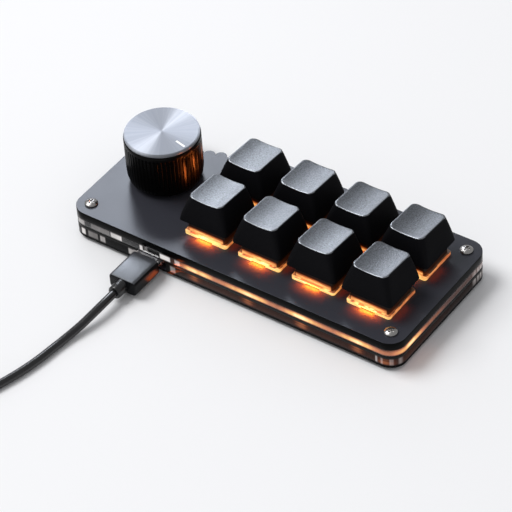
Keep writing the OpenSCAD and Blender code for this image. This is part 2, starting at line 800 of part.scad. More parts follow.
module knob_grub_screw() {
    color([0.2, 0.2, 0.2]) translate([knob_x, knob_y, grub_z]) rotate([-90, 0, 0])
        translate([0, 0, shaft_flat + FIT]) difference() {
            cylinder(r = grub_r, h = grub_l);
            translate([0, 0, grub_l - 1.5]) cylinder(r = 0.75, h = 2, $fn = 6);
        }
}

// ---------- lead ----------

module usb_plug_shell() {
    inner = PLUG[2] - 2 * plug_t;
    color([0.7, 0.7, 0.71]) difference() {
        bar_y(PLUG[0], PLUG[2], PLUG[2] / 2 - EPS, usb_x, grip_y, usb_z, PLUG[1] + plug_gap);
        bar_y(PLUG[0] - 2 * plug_t, inner, inner / 2 - EPS, usb_x, grip_y + plug_gap, usb_z, PLUG[1] + 1);
    }
}

module usb_plug_grip() {
    color([0.1, 0.1, 0.11]) bar_y(grip_w, grip_t, grip_r, usb_x, collar_y, usb_z, grip_l);
}

module cable_collar() {
    color([0.08, 0.08, 0.09]) translate([usb_x, collar_y, usb_z]) rotate([90, 0, 0])
        cylinder(d1 = collar_d + 0.4, d2 = collar_d, h = collar_l);
}

module usb_cable() {
    color([0.06, 0.06, 0.07]) tube(ROUTE, cable_r, 8);
}

// Two layers of turns: in along the lower one, up where the spiral turns, out along the upper one
function coil_radius(t) = coil_in + coil_step * abs(t - coil_turns / 2);
function coil_rise(t) =
    let (s = min(1, max(0, 2 * (t - coil_turns / 2) + 0.5))) coil_step * s * s * (3 - 2 * s);
function coil_path() = concat(
    [[coil_x + coil_out, coil_y + cable_d, cable_r]],
    [for (i = [0 : coil_turns * coil_rings]) let (t = i / coil_rings, a = -360 * t)
        [coil_x + coil_radius(t) * cos(a), coil_y + coil_radius(t) * sin(a), cable_r + coil_rise(t)]],
    [[far_x, far_y, coil_top]]
);

module cable_coil() {
    color([0.06, 0.06, 0.07]) tube(coil_path(), cable_r, 6);
}

module cable_tie() {
    color([0.12, 0.12, 0.13]) translate([coil_x, coil_y, 0]) difference() {
        translate([-tie_w / 2, -tie_high - tie_t, 0])
            cube([tie_w, tie_high - tie_low + 2 * tie_t, tie_roof + tie_t]);
        translate([-tie_w, -tie_high, tie_floor])
            cube([2 * tie_w, tie_high - tie_low, tie_roof - tie_floor]);
    }
}

module far_strain_relief() {
    color([0.08, 0.08, 0.09]) translate([far_x, far_y, coil_top]) rotate([-90, 0, 0])
        cylinder(d1 = cable_d + 0.8, d2 = far_relief_d, h = far_relief_l);
}

module far_plug_grip() {
    color([0.1, 0.1, 0.11])
        bar_y(FAR_GRIP[0], FAR_GRIP[2], 2, far_x, far_y + far_relief_l, coil_top, FAR_GRIP[1]);
}

module far_plug_shell() {
    y = far_y + far_relief_l + FAR_GRIP[1];
    color([0.75, 0.75, 0.76]) difference() {
        bar_y(FAR_SHELL[0], FAR_SHELL[2], 0.4, far_x, y, coil_top, FAR_SHELL[1]);
        translate([far_x - FAR_SHELL[0] / 2 + 0.4, y + 0.5, coil_top - 0.2])
            cube([FAR_SHELL[0] - 0.8, FAR_SHELL[1], FAR_SHELL[2] / 2 - 0.2]);
    }
}

// Least gap of a wound tube to itself, between rings at least half a turn apart
function least_gap(path, half, d) = min([for (i = [0 : len(path) - 1 - half])
    for (j = [i + half : len(path) - 1]) norm(path[i] - path[j]) - d]);
echo(coil_least_gap = least_gap(coil_path(), coil_rings / 2, cable_d));
echo(spring_least_gap = least_gap(spring_path(), SPRING_STEPS / 2, spring_wire));
echo(lead_length = path_length(ROUTE) + path_length(coil_path()));

top_plate();
upper_spacer();
circuit_board();
lower_spacer();
base_plate();
case_standoffs();
top_screws();
base_screws();
rubber_feet();
switch_bases();
switch_covers();
switch_contacts();
hotswap_sockets();
key_leds();
microcontroller();
board_parts();
usb_socket();
encoder_case();
encoder_bushing();
encoder_rotor();
push_dome();
encoder_shaft();
knob_body();
knob_cap();
knob_marker();
knob_grub_screw();
for (i = [0 : KEYS - 1]) {
    color([0.07, 0.07, 0.08]) translate(key_place(i)) keycap();
    color([0.85, 0.55, 0.3]) translate(key_place(i)) stem();
    color([0.8, 0.78, 0.7]) translate(key_place(i)) spring();
}
usb_plug_shell();
usb_plug_grip();
cable_collar();
usb_cable();
cable_coil();
cable_tie();
far_strain_relief();
far_plug_grip();
far_plug_shell();
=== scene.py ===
"""A macro keypad with eight lit keys and one knob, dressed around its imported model.

Lengths here are in millimetres and become metres through MM. The row frame is the model's own:
+X along the key rows, +Y to the back, +Z up, origin on the table under the case.
"""

import json
import math

import bmesh
import bpy
from mathutils import Matrix, Vector


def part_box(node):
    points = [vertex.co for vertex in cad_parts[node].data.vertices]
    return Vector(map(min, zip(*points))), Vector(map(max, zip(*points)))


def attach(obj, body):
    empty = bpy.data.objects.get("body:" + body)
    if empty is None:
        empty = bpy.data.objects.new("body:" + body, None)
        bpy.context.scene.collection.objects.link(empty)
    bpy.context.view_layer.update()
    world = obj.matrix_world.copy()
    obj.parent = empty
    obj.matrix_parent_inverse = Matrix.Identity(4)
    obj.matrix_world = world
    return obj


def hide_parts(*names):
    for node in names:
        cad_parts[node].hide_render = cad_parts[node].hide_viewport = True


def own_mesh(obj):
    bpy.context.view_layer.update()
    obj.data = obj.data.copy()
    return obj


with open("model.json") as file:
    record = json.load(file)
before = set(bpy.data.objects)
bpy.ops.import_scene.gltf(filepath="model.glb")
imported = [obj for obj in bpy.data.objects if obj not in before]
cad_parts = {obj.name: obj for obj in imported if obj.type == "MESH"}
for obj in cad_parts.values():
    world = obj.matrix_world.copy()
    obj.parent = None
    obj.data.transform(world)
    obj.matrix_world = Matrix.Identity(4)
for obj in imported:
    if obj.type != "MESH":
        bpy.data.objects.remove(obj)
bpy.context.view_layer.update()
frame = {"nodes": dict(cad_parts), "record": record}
MM = 0.001

# ---------- what the frame gives ----------

plate_low, plate_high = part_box("top_plate")
PLATE = plate_high.z / MM
knob_low, knob_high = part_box("knob_body")
KNOB_X, KNOB_Y = (knob_low.x + knob_high.x) / 2 / MM, (knob_low.y + knob_high.y) / 2 / MM
KEYS = range(1, 9)


def centre_of(node):
    """Middle of a node's box, in millimetres."""
    low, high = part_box(node)
    return (low + high) / 2 / MM


KEY_PLACES = [centre_of(f"stem_{i}") for i in KEYS]
BODY_OF = {n: body for body, members in frame["record"]["behaviour"]["bodies"].items() for n in members}

# ---------- camera ----------

# The photograph's camera: a long lens, turned a little round its own axis
PICTURE_SIDE, FOCAL_PX = 512, 2934.4      # both in pixels
SENSOR = 36
AZIMUTH, ELEVATION, ROLL = (math.radians(a) for a in (37.99, 42.06, -4.5))
TARGET = Vector((2.24, -13.67, 10.7))
DISTANCE = 856.7


def add_camera():
    back = Vector((math.sin(AZIMUTH) * math.cos(ELEVATION), -math.cos(AZIMUTH) * math.cos(ELEVATION),
                   math.sin(ELEVATION)))
    level = Vector((math.cos(AZIMUTH), math.sin(AZIMUTH), 0))
    upright = back.cross(level)
    right = math.cos(ROLL) * level + math.sin(ROLL) * upright
    up = math.cos(ROLL) * upright - math.sin(ROLL) * level
    data = bpy.data.cameras.new("camera")
    data.sensor_width = SENSOR
    data.lens = SENSOR * FOCAL_PX / PICTURE_SIDE
    data.clip_start, data.clip_end = 0.05, 20
    camera = bpy.data.objects.new("camera", data)
    bpy.context.scene.collection.objects.link(camera)
    camera.rotation_mode = "QUATERNION"
    axes = [[right[i], up[i], back[i]] for i in range(3)]
    camera.rotation_quaternion = Matrix(axes).to_quaternion()
    camera.location = (TARGET + back * DISTANCE) * MM
    bpy.context.scene.camera = camera


add_camera()

# ---------- shapes ----------


def piece(name, verts, faces, body, slot, replaces=(), smooth_angle=40):
    """A mesh object from points in millimetres, riding on a body and standing for some nodes."""
    mesh = bpy.data.meshes.new(name)
    mesh.from_pydata([Vector(v) * MM for v in verts], [], faces)
    bm = bmesh.new()
    bm.from_mesh(mesh)
    bmesh.ops.recalc_face_normals(bm, faces=bm.faces)
    bm.to_mesh(mesh)
    bm.free()
    obj = bpy.data.objects.new(name, mesh)
    bpy.context.scene.collection.objects.link(obj)
    shade(mesh, smooth_angle)
    return dress(obj, body, replaces)


def dress(obj, body, replaces=()):
    """Sets a piece on the body that it rides on, and hides the nodes that it stands for."""
    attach(obj, body)
    if replaces:
        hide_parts(*replaces)
    return obj


def shade(mesh, smooth_angle):
    """Smooth faces, with the edges sharper than the angle kept as edges."""
    mesh.polygons.foreach_set("use_smooth", [True] * len(mesh.polygons))
    mesh.set_sharp_from_angle(angle=math.radians(smooth_angle))


def loft(rings, cap_start=True, cap_end=True):
    """Points and faces of a tube through rings with equally many points; a cap is a fan of triangles."""
    n = len(rings[0])
    verts = [p for ring in rings for p in ring]
    faces = [(j * n + i, j * n + (i + 1) % n, (j + 1) * n + (i + 1) % n, (j + 1) * n + i)
             for j in range(len(rings) - 1) for i in range(n)]
    for wanted, first in ((cap_start, 0), (cap_end, (len(rings) - 1) * n)):
        if wanted:
            ring = verts[first:first + n]
            verts.append(tuple(sum(p[k] for p in ring) / n for k in range(3)))
            faces += [(first + i, first + (i + 1) % n, len(verts) - 1) for i in range(n)]
    return verts, faces


def join(*parts):
    """Several (points, faces) as one."""
    verts, faces = [], []
    for v, f in parts:
        faces += [tuple(i + len(verts) for i in face) for face in f]
        verts += v
    return verts, faces


def lathe(profile, count, at=(0, 0), capped=True, radius=None):
    """A profile of (radius, height) turned about Z; radius(r, z, angle) may reshape it."""
    rings = []
    for r, z in profile:
        ring = []
        for i in range(count):
            a = 2 * math.pi * i / count
            q = radius(r, z, a) if radius else r
            ring.append((at[0] + q * math.cos(a), at[1] + q * math.sin(a), z))
        rings.append(ring)
    return loft(rings, capped, capped)


def rounded_ring(w, d, r, corner, side):
    """Points of a rounded rectangle, in corner steps round each corner and side steps along each straight edge."""
    points = []
    quarters = ((1, 1), (-1, 1), (-1, -1), (1, -1))
    for q, (sx, sy) in enumerate(quarters):
        cx, cy = sx * (w / 2 - r), sy * (d / 2 - r)
        for i in range(corner + 1):
            a = math.radians(90 * q + 90 * i / corner)
            points.append((cx + r * math.cos(a), cy + r * math.sin(a)))
        nx, ny = quarters[(q + 1) % 4]
        ex, ey = nx * (w / 2 - r), ny * (d / 2 - r)
        a = math.radians(90 * (q + 1))
        start = points[-1]
        end = (ex + r * math.cos(a), ey + r * math.sin(a))
        for i in range(1, side):
            t = i / side
            points.append((start[0] + t * (end[0] - start[0]), start[1] + t * (end[1] - start[1])))
    return points


FLAT = math.radians(0.5)      # faces nearer to one plane than this become one face
SHARP = math.radians(30)      # edges sharper than this are rounded
SOFT_SHADING = 35             # degrees up to which a rounded node shades smooth


def softened(node, width):
    """A copy of a CAD node with its sharp edges rounded by a width, standing for that node."""
    mesh = frame["nodes"][node].data.copy()
    bm = bmesh.new()
    bm.from_mesh(mesh)
    bmesh.ops.remove_doubles(bm, verts=bm.verts, dist=1e-7)
    bmesh.ops.dissolve_limit(bm, angle_limit=FLAT, verts=bm.verts, edges=bm.edges)
    sharp = [e for e in bm.edges if len(e.link_faces) == 2 and e.calc_face_angle(0) > SHARP]
    bmesh.ops.bevel(bm, geom=sharp, offset=width * MM, segments=2, profile=0.5, affect="EDGES", clamp_overlap=True)
    bm.to_mesh(mesh)
    bm.free()
    mesh.attributes.active_color_index = -1
    obj = bpy.data.objects.new(node + "_piece", mesh)
    bpy.context.scene.collection.objects.link(obj)
    shade(mesh, SOFT_SHADING)
    for face in mesh.polygons:
        face.use_smooth = abs(face.normal.z) < 0.9999
    return dress(obj, BODY_OF[node], (node,))


# ---------- materials ----------


class Shader:
    """A node material, with short calls for the nodes that the finishes here need."""

    def __init__(self, name):
        self.material = bpy.data.materials.new(name)
        self.material.use_nodes = True
        self.nodes = self.material.node_tree.nodes
        self.links = self.material.node_tree.links
        self.bsdf = self.nodes["Principled BSDF"]

    def set(self, **sockets):
        for name, value in sockets.items():
            self.bsdf.inputs[name.replace("_", " ")].default_value = value
        return self

    def drive(self, socket, value):
        """Lets a value or colour from the nodes give one of the shader's sockets."""
        self.links.new(value, self.bsdf.inputs[socket])

    def add(self, kind, **settings):
        node = self.nodes.new(kind)
        for name, value in settings.items():
            if name in node.inputs:
                node.inputs[name].default_value = value
            else:
                setattr(node, name, value)
        return node

    def coords(self):
        """Place on the object in the row frame, in metres."""
        return self.add("ShaderNodeTexCoord").outputs["Object"]

    def split(self, vector):
        """x, y and z of a vector."""
        node = self.add("ShaderNodeSeparateXYZ")
        self.links.new(vector, node.inputs[0])
        return node.outputs

    def vector(self, operation, vector, fixed, output="Vector"):
        """A vector worked on with a fixed one."""
        node = self.add("ShaderNodeVectorMath", operation=operation)
        self.links.new(vector, node.inputs[0])
        node.inputs[1].default_value = fixed
        return node.outputs[output]

    def noise(self, scale, detail, roughness, vector=None):
        node = self.add("ShaderNodeTexNoise", Scale=scale, Detail=detail, Roughness=roughness)
        self.links.new(vector or self.coords(), node.inputs["Vector"])
        return node.outputs["Fac"]

    def noise_along(self, value, scale, detail):
        """Noise that changes along one value only."""
        node = self.add("ShaderNodeTexNoise", noise_dimensions="1D", Scale=scale, Detail=detail)
        self.links.new(value, node.inputs["W"])
        return node.outputs["Fac"]

    def span(self, value, low, high, to_low, to_high):
        """The value, mapped from one range to another and held inside it."""
        node = self.add("ShaderNodeMapRange")
        for name, number in (("From Min", low), ("From Max", high), ("To Min", to_low), ("To Max", to_high)):
            node.inputs[name].default_value = number
        self.links.new(value, node.inputs["Value"])
        return node.outputs["Result"]

    def span_mm(self, length, low, high, to_low, to_high):
        """As span, for a length in metres and a range of it in millimetres."""
        return self.span(length, low * MM, high * MM, to_low, to_high)

    def ramp(self, value, *stops):
        """A colour for the value, from stops of (place, colour)."""
        node = self.add("ShaderNodeValToRGB")
        elements = node.color_ramp.elements
        while len(elements) < len(stops):
            elements.new(0.5)
        for element, (place, colour) in zip(elements, stops):
            element.position = place
            element.color = (*colour, 1)
        self.links.new(value, node.inputs["Fac"])
        return node.outputs["Color"]

    def math(self, operation, *values):
        node = self.add("ShaderNodeMath", operation=operation)
        for socket, value in zip(node.inputs, values):
            if isinstance(value, (int, float)):
                socket.default_value = value
            else:
                self.links.new(value, socket)
        return node.outputs[0]

    def times(self, first, *others):
        for other in others:
            first = self.math("MULTIPLY", first, other)
        return first

    def highest(self, values):
        best, *others = values
        for other in others:
            best = self.math("MAXIMUM", best, other)
        return best

    def bump(self, height, strength, distance):
        """Relief from a height of 0 to 1, over a distance in millimetres."""
        node = self.add("ShaderNodeBump", Strength=strength, Distance=distance * MM)
        self.links.new(height, node.inputs["Height"])
        self.drive("Normal", node.outputs["Normal"])


BROAD, SCRATCHES = 90.0, 400.0      # noise scales of a roughness that wanders and of scratched metal


def speckled(name, colour, roughness, grain, bump, vary=0.15, sparkle=0.0, **sockets):
    """A moulded or coated surface: fine grain of some scale and bump, and a roughness that wanders a little.

    The grain varies the colour by a share, and it may make the reflections sparkle by another.
    """
    s = Shader(name).set(Metallic=0.0, **sockets)
    fine = s.noise(grain, 4.0, 0.6)
    dark = tuple(c * (1 - vary) for c in colour)
    light = tuple(min(1, c * (1 + vary)) for c in colour)
    s.drive("Base Color", s.ramp(fine, (0.3, dark), (0.7, light)))
    s.drive("Roughness", s.span(s.noise(BROAD, 2.0, 0.5), 0.3, 0.7, roughness * 0.92, roughness * 1.08))
    if sparkle:
        s.drive("Specular IOR Level", s.span(fine, 0.35, 0.65, 1 - sparkle, 1 + sparkle))
    s.bump(fine, 1.0, bump)
    return s.material


def metal(name, colour, roughness):
    """Plain metal with faint scratches."""
    s = Shader(name).set(Metallic=1.0)
    fine = s.noise(SCRATCHES, 3.0, 0.6)
    dark = tuple(c * 0.85 for c in colour)
    s.drive("Base Color", s.ramp(fine, (0.25, dark), (0.65, colour)))
    s.drive("Roughness", s.span(fine, 0.3, 0.7, roughness * 0.8, roughness * 1.2))
    s.bump(fine, 0.6, 0.004)
    return s.material


SPUN_DARK, SPUN_LIGHT = (0.258, 0.273, 0.302), (0.313, 0.328, 0.358)
SPUN_ROUGHNESS = 0.47, 0.53
SPUN_RINGS, SPUN_RAYS = 5200.0, 9.0      # noise scales, along the radius and round the axis


def spun_metal():
    """Turned aluminium: rings about the knob's axis, so that light lies on it in wedges."""
    s = Shader("spun_aluminium").set(Metallic=0.8, Anisotropic=1.0, Anisotropic_Rotation=0.25)
    x, y, _ = s.split(s.vector("SUBTRACT", s.coords(), (KNOB_X * MM, KNOB_Y * MM, 0)))
    rings = s.noise_along(s.math("SQRT", s.math("ADD", s.times(x, x), s.times(y, y))), SPUN_RINGS, 3.0)
    rays = s.noise_along(s.math("ARCTAN2", y, x), SPUN_RAYS, 4.0)
    mixed = s.math("ADD", s.times(rings, 0.35), s.times(rays, 0.65))
    s.drive("Base Color", s.ramp(mixed, (0.3, SPUN_DARK), (0.7, SPUN_LIGHT)))
    s.drive("Roughness", s.span(rings, 0.3, 0.7, *SPUN_ROUGHNESS))
    s.drive("Tangent", s.add("ShaderNodeTangent", direction_type="RADIAL", axis="Z").outputs[0])
    return s.material


BLACK = (0, 0, 0)
SAW_LINES, EDGE_WAVES = 420.0, 260.0      # noise scales along a clear layer's cut edge
BIT_BLUR = 0.15                           # half the width over which a bit of painted room light begins and ends
CORNER_REACH = 5.0                        # the painted highlight of a corner's standoff reaches this far along the layer
LINE_PITCH = 0.9                          # height between the fine level lines in the painted light of the lamps


def tall_stripes(s, scale, contrast):
    """Upright stripes along a cut edge, as a saw leaves them, from 0 to 1."""
    fac = s.noise(scale, 2.0, 0.6, s.vector("MULTIPLY", s.coords(), (1, 1, 0.02)))
    return s.span(fac, 0.5 - contrast, 0.5 + contrast, 0.0, 1.0)


def near_points(s, places, reach):
    """1 at the nearest of some places in the row frame, falling to 0 at reach."""
    away = [s.vector("DISTANCE", s.coords(), Vector(place) * MM, "Value") for place in places]
    return s.highest(s.span_mm(distance, 0.0, reach, 1.0, 0.0) for distance in away)


def bright_bits(s, x, bits):
    """The strength of the bits along the cut edge, each from one x to another, in which painted room light comes
    out.
    """
    shares = []
    for start, end, strength in bits:
        rise = s.span_mm(x, start - BIT_BLUR, start + BIT_BLUR, 0.0, strength)
        fall = s.span_mm(x, end - BIT_BLUR, end + BIT_BLUR, strength, 0.0)
        shares.append(s.math("MINIMUM", rise, fall))
    return s.highest(shares)


def clear_sheet(name, layer, bits, spots, reach, hot, level, grey, clear):
    """Clear acrylic whose cut edge glows with painted light, as emission: painted room light in some bits and
    painted light of the lamps in others.

    layer is its lower and upper height. The painted lamps' light has a level all along the edge and is hotter near
    some spots, out to reach. grey is the body's own shade, and clear is the share of it that lets light through.
    """
    low, high = layer
    s = Shader(name).set(IOR=1.49 if clear > 0.5 else 1.3, Roughness=0.08, Specular_IOR_Level=grey)
    s.set(Base_Color=(grey, grey, grey, 1), Emission_Strength=1.0, Transmission_Weight=clear)
    x, y, z = s.split(s.coords())
    stripes = tall_stripes(s, SAW_LINES, 0.06)
    inside = s.times(s.span_mm(z, low + 0.1, low + 0.5, 0.25, 1.0), s.span_mm(z, high - 0.5, high - 0.05, 1.0, 0.2))

    # Painted highlights, as emission: room light in bits of the cut edge, and standoffs showing through near the
    # corners
    painted_glint_mask = s.times(inside, s.span(stripes, 0.0, 1.0, 0.8, 1.0))
    corner = s.times(near_points(s, CORNERS, CORNER_REACH), s.span(stripes, 0.4, 0.9, 0.0, 0.8))
    room = s.times(painted_glint_mask, s.highest([bright_bits(s, x, bits), corner]))
    painted_room_glints = s.ramp(room, (0.0, BLACK), (0.3, (0.13, 0.122, 0.12)), (1.0, (0.82, 0.79, 0.78)))

    # Painted glow of the switches' lamps, as emission
    glow = s.math("ADD", s.times(near_points(s, spots, reach), hot), level)
    height = s.math("PINGPONG", s.math("SUBTRACT", z, low * MM), LINE_PITCH * MM)
    lines = s.span_mm(height, 0.1, 0.45, 0.72, 1.0)
    waves = s.span(tall_stripes(s, EDGE_WAVES, 0.2), 0.0, 1.0, 0.78, 1.1)
    # It dies away before the plug, and along the right side towards the back
    ends = s.times(s.span_mm(x, -21.5, -12.5, 0.0, 1.0), s.span_mm(y, -20, 6, 1.0, 0.26))
    lamps = s.times(glow, s.times(lines, waves), inside, ends)
    lit = s.ramp(lamps, (0.0, BLACK), (0.15, (0.06, 0.012, 0.003)), (0.45, (0.56, 0.18, 0.07)),
                 (0.7, (0.96, 0.50, 0.14)), (1.0, (1.1, 0.95, 0.50)))

    total = s.add("ShaderNodeMix", data_type="RGBA", blend_type="ADD")
    total.inputs["Factor"].default_value = 1.0
    s.links.new(painted_room_glints, total.inputs[6])
    s.links.new(lit, total.inputs[7])
    s.drive("Emission Color", total.outputs[2])
    s.bump(stripes, 0.35, 0.02)
    return s.material


FLANGE = 1.0                              # height of the switches' flanges over the plate
FLANGE_W, FLANGE_D = 14.9, 14.1
COVER_TOP = 2.9                           # above this height over the plate the covers have no painted glow, and their colour is darkened as painted shade
HOUSING_GRAIN, GAP_SHADE_GRAIN = 900.0, 330.0


def lit_housing(name="switch_housing"):
    """Milky switch plastic over a lamp at its front, with the lamp's light painted on it as emission: yellow there,
    orange behind it, dark at its back and top, where its colour is darkened as painted shade.
    """
    s = Shader(name).set(IOR=1.5, Roughness=0.35, Specular_IOR_Level=0.2, Emission_Strength=1.0)
    place = s.split(s.coords())
    # Each switch's own place: u from its middle to either side, v from its middle to the back
    pitch = (KEY_PLACES[1].x - KEY_PLACES[0].x) * MM
    own = []
    for axis, start in ((0, KEY_PLACES[0].x), (1, KEY_PLACES[0].y)):
        shifted = s.math("ADD", place[axis], pitch / 2 - start * MM)
        own.append(s.math("ADD", s.math("FLOORED_MODULO", shifted, pitch), -pitch / 2))
    u, v, z = s.math("ABSOLUTE", own[0]), own[1], place[2]

    # The lamp's painted light: less to the back, to the sides and up the cover, whose front arm is darker with
    # painted shade
    depth = s.ramp(s.span_mm(v, -7.1, 7.1, 0, 1), (0.0, (1, 1, 1)), (0.05, (1, 1, 1)), (0.14, (0.66, 0.66, 0.66)),
                   (0.3, (0.24, 0.24, 0.24)), (0.6, (0.05, 0.05, 0.05)))
    across = s.span_mm(u, 0.5, 7.4, 1.0, 0.72)
    upper = s.span_mm(z, PLATE + COVER_TOP - 1, PLATE + COVER_TOP, 1.0, 0.06)
    arm = s.times(s.span_mm(v, -6.45, -6.3, 0, 1), s.span_mm(z, PLATE + FLANGE - 0.02, PLATE + FLANGE + 0.02, 0, 1))
    clear_of_painted_shade = s.times(upper, s.math("SUBTRACT", 1.0, s.times(arm, 0.88)))
    inner = s.times(depth, across, clear_of_painted_shade)

    # The flange's outer faces, with painted light brighter at the front
    outer = s.highest([s.span_mm(u, FLANGE_W / 2 - 0.3, FLANGE_W / 2 - 0.15, 0, 1),
                       s.span_mm(v, 0.15 - FLANGE_D / 2, 0.3 - FLANGE_D / 2, 1, 0)])
    rim = s.times(outer, s.span_mm(z, PLATE + FLANGE, PLATE + FLANGE + 0.1, 1, 0),
                  s.span_mm(v, -7.0, 7.0, 0.5, 0.34))

    # Grain in the painted light, and painted shade broken into short marks in the gap over the flange
    grain = s.span(s.noise(HOUSING_GRAIN, 3.0, 0.65, s.vector("MULTIPLY", s.coords(), (0.35, 0.35, 1.6))),
                   0.32, 0.68, 0.6, 1.12)
    gap = s.times(s.span_mm(z, PLATE + FLANGE - 0.05, PLATE + FLANGE, 0, 1),
                  s.span_mm(z, PLATE + FLANGE + 0.12, PLATE + FLANGE + 0.18, 1, 0))
    painted_gap_shade = s.times(gap, s.span(s.noise(GAP_SHADE_GRAIN, 2.0, 0.6), 0.5, 0.58, 0, 0.75))
    level = s.times(s.highest([inner, rim]), s.times(grain, s.math("SUBTRACT", 1.0, painted_gap_shade)))
    # Painted shade: the plastic's colour is darker up the cover and on its front arm
    s.drive("Base Color", s.ramp(clear_of_painted_shade, (0.1, (0.015, 0.008, 0.005)), (0.9, (0.36, 0.24, 0.16))))
    lit = s.ramp(level, (0.0, BLACK), (0.08, (0.05, 0.008, 0.001)), (0.3, (0.42, 0.085, 0.012)),
                 (0.55, (0.92, 0.42, 0.11)), (0.78, (1.06, 0.77, 0.24)), (1.0, (1.15, 1.03, 0.52)))
    s.drive("Emission Color", lit)
    return s.material


FRONT, SIDE = plate_low.y / MM, plate_high.x / MM
CORNERS = [(57.5, 19, 5), (-57.5, -19, 5)]      # where painted highlights stand for standoffs showing through the cut edges
UPPER_LAYER = [p.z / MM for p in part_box("upper_spacer")]
LOWER_LAYER = [p.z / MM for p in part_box("lower_spacer")]
# Bits of painted room light on the front edge as in the photograph: from one x to another, and how bright
UPPER_BITS = [
    (-55.4, -52.8, 0.5), (-50.4, -43.4, 0.34), (-43.0, -38.9, 0.85), (-32.2, -31.1, 0.95), (-24.8, -21, 0.9),
    (-19.4, -17.5, 0.7),
]
LOWER_BITS = [
    (-54.4, -52.8, 0.9), (-51.8, -48.2, 0.4), (-47.3, -45.4, 0.6), (-36.7, -34.6, 0.55), (-26, -24.4, 0.65),
    (-21.3, -19.4, 0.45), (51, 51.7, 0.5), (52.8, 53.5, 0.35), (55.4, 56.4, 0.35), (57.4, 57.9, 0.4),
]
# Places at the edge where the painted light of the switches' lamps is hottest
UPPER_SPOTS = [(key.x + 1.8, FRONT, 6) for key in KEY_PLACES[:4]] + [(SIDE, -16, 7)]
LOWER_SPOTS = [(key.x + 1.8, FRONT, 4.5) for key in KEY_PLACES[:4]] + [(54, FRONT + 1, 3)]
COOL = (0.88, 0.94, 1.0, 1)
# For speckled: colour, roughness, grain, bump, then the shares by which the grain varies the colour and sparkles.
# For metal: colour and roughness.
FINISH = {
    # black_acrylic and black_edge are one black acrylic: the tops painted lighter as if lit, the cut edges darker as
    # painted shade
    "black_acrylic": speckled("black_acrylic", (0.034, 0.035, 0.044), 0.255, 9000.0, 0.0003, 0.08,
                              Specular_IOR_Level=0.22, Specular_Tint=COOL),
    "black_edge": speckled("black_edge", (0.002, 0.002, 0.002), 0.2, 3000.0, 0.0006, 0.1,
                           Specular_IOR_Level=0.04),
    # Both clear layers glow at their cut edges with painted light, as emission
    "clear_acrylic": clear_sheet("clear_acrylic", LOWER_LAYER, LOWER_BITS, LOWER_SPOTS, reach=3.4, hot=0.34,
                                 level=0.07, grey=0.02, clear=0.3),
    "lit_acrylic": clear_sheet("lit_acrylic", UPPER_LAYER, UPPER_BITS, UPPER_SPOTS, reach=8.0, hot=0.62,
                               level=0.44, grey=0.12, clear=0.8),
    "circuit_board": speckled("circuit_board", (0.005, 0.0055, 0.005), 0.35, 3000.0, 0.002,
                              Specular_IOR_Level=0.12),
    "brass": metal("brass", (0.78, 0.62, 0.36), 0.25),
    "steel": metal("steel", (0.38, 0.37, 0.36), 0.26),
    "rubber": speckled("rubber", (0.02, 0.02, 0.02), 0.75, 5000.0, 0.006),
    "socket_metal": metal("socket_metal", (0.2, 0.2, 0.21), 0.45),
    "switch_housing": lit_housing(),
    "black_plastic": speckled("black_plastic", (0.02, 0.02, 0.022), 0.45, 4000.0, 0.003),
    "led": lit_housing("led"),
    "bright_metal": metal("bright_metal", (0.72, 0.72, 0.73), 0.22),
    "white_plastic": speckled("white_plastic", (0.9, 0.9, 0.9), 0.4, 4000.0, 0.001, 0.02),
    "knob_black": speckled("knob_black", (0.0015, 0.0015, 0.0015), 0.27, 5000.0, 0.0006, 0.1,
                           Specular_IOR_Level=0.045),
    "knob_rim": speckled("knob_rim", (0.003, 0.003, 0.003), 0.3, 5000.0, 0.0006, 0.1, Specular_IOR_Level=0.05),
    "spun_aluminium": spun_metal(),
    "cable_black": speckled("cable_black", (0.0028, 0.0028, 0.0034), 0.26, 6000.0, 0.002, 0.3,
                            Specular_IOR_Level=0.6),
    # grip_black and grip_top are one black moulding: the top has a glossier, finer finish and is painted lighter as
    # if lit
    "grip_black": speckled("grip_black", (0.005, 0.005, 0.006), 0.30, 4000.0, 0.006, 0.3,
                           Specular_IOR_Level=0.12),
    "grip_top": speckled("grip_top", (0.036, 0.037, 0.042), 0.36, 3600.0, 0.02, 0.3,
                         Specular_IOR_Level=0.8, Specular_Tint=COOL),
    # keycap_rim, keycap_black and keycap_top are one keycap plastic: the top is glossier and painted lighter than
    # the sides as if lit, and the rounding round it lighter still, a painted highlight
    "keycap_rim": speckled("keycap_rim", (0.06, 0.063, 0.072), 0.24, 4200.0, 0.004, 0.3,
                           Specular_IOR_Level=1.0, IOR=1.9, Specular_Tint=COOL),
    "keycap_black": speckled("keycap_black", (0.0045, 0.0045, 0.0055), 0.6, 5200.0, 0.008, 0.25,
                             Specular_IOR_Level=0.04),
    "keycap_top": speckled("keycap_top", (0.016, 0.0173, 0.022), 0.325, 2350.0, 0.085, 0.6, 0.34,
                           Specular_Tint=COOL, IOR=1.52),
    "stem_plastic": speckled("stem_plastic", (0.22, 0.09, 0.03), 0.35, 3000.0, 0.001),
    "spring_steel": metal("spring_steel", (0.75, 0.73, 0.68), 0.25),
}
ROUNDING_ENDS = 0.955       # faces that look up less than this belong to the rounding round a top, painted lighter as a highlight


def finish(obj, name, top=None, least=0.7, rim=None):
    """Gives a piece its material; faces that look up may have another, a lighter copy that paints light on the tops,
    and the rounding round them a third, lighter still as a painted highlight.
    """
    obj.data.materials.clear()
    for look in filter(None, (name, top, rim)):
        obj.data.materials.append(FINISH[look])
    if top:
        for face in obj.data.polygons:
            up = face.normal.z
            face.material_index = 2 if rim and least < up < ROUNDING_ENDS else int(up > least)
    return obj


# ---------- case ----------

